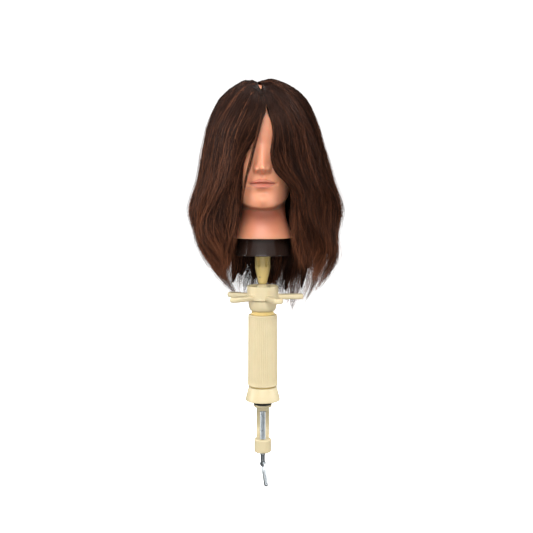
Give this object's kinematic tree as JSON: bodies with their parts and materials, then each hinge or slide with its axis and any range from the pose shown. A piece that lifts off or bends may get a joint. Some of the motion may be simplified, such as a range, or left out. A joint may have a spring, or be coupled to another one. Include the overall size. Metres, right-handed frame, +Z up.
{
  "type": "mannequin training head",
  "caption": "Hairdressing training head with long centre-parted hair on a ball-jointed peg and a table-clamp holder.",
  "frame": {"origin": "centre of the underside of the rubber foot pad, where the holder stands on the table edge", "axes": "+Z up along the holder, the face looks towards -Y, the clamp's C-shaped frame is at +Y"},
  "size_m": [0.2534, 0.2201, 0.6887],
  "materials": {
    "vinyl_skin": "satin",
    "foam": "matte",
    "dark_socket": "gloss",
    "hair": "satin",
    "cream_abs": "satin",
    "khaki_abs": "satin",
    "nylon": "satin",
    "black_rubber": "matte",
    "steel": "satin"
  },
  "bodies": {
    "holder": {"foot_pad": "black_rubber", "clamp_frame": "cream_abs", "screw_bush": "steel", "foot_skirt": "cream_abs", "tie_bolt": "steel", "tie_nut": "steel", "post_core": "khaki_abs", "grip_sleeve": "cream_abs", "ball_housing": "cream_abs"},
    "seat": {"ball_seat": "nylon"},
    "shoe": {"ball_shoe": "nylon"},
    "peg": {"ball": "cream_abs", "peg": "khaki_abs", "peg_pin": "steel"},
    "head": {"neck_socket": "dark_socket", "head_skin": "vinyl_skin", "foam_core": "foam", "hair_top_left": "hair", "hair_top_right": "hair", "hair_front_left": "hair", "hair_front_right": "hair", "hair_side_left": "hair", "hair_side_right": "hair", "hair_back_left": "hair", "hair_back_right": "hair"},
    "ring": {"pressure_ring": "nylon"},
    "nut": {"lock_nut": "cream_abs"},
    "pad": {"pad_facing": "black_rubber", "pressure_pad": "cream_abs"},
    "screw": {"clamp_screw": "steel", "hinge_pin": "steel"},
    "lever": {"fold_lever": "steel"}
  },
  "joints": [
    {"name": "ball_swivel", "type": "hinge", "parent": "holder", "child": "seat", "pos_m": [0, 0, 0.188], "axis": [0, 0, 1], "continuous": true},
    {"name": "ball_lean", "type": "hinge", "parent": "seat", "child": "shoe", "pos_m": [0, 0, 0.188], "axis": [0, 1, 0], "range_deg": [-25, 25]},
    {"name": "ball_tilt", "type": "hinge", "parent": "shoe", "child": "peg", "pos_m": [0, 0, 0.188], "axis": [1, 0, 0], "range_deg": [-25, 25]},
    {"name": "head_lift", "type": "slide", "parent": "peg", "child": "head", "axis": [0, 0, 1], "range_m": [0, 0.08]},
    {"name": "nut_travel", "type": "slide", "parent": "holder", "child": "ring", "axis": [0, 0, 1], "range_m": [0, 0.0015]},
    {"name": "nut_turn", "type": "hinge", "parent": "ring", "child": "nut", "pos_m": [0, 0, 0.188], "axis": [0, 0, 1], "range_deg": [0, 270]},
    {"name": "screw_travel", "type": "slide", "parent": "holder", "child": "pad", "axis": [0, 0, 1], "range_m": [-0.045, 0]},
    {"name": "screw_turn", "type": "hinge", "parent": "pad", "child": "screw", "pos_m": [0, 0, -0.05], "axis": [0, 0, 1], "range_deg": [-10800, 0]},
    {"name": "lever_fold", "type": "hinge", "parent": "screw", "child": "lever", "pos_m": [0, 0, -0.1114], "axis": [-0.9063, -0.4226, 0], "range_deg": [-112, 68]}
  ],
  "couplings": [
    {"joint": "nut_turn", "follows": "nut_travel", "rad_per_m": 3141.6},
    {"joint": "screw_turn", "follows": "screw_travel", "rad_per_m": 4188.8}
  ]
}
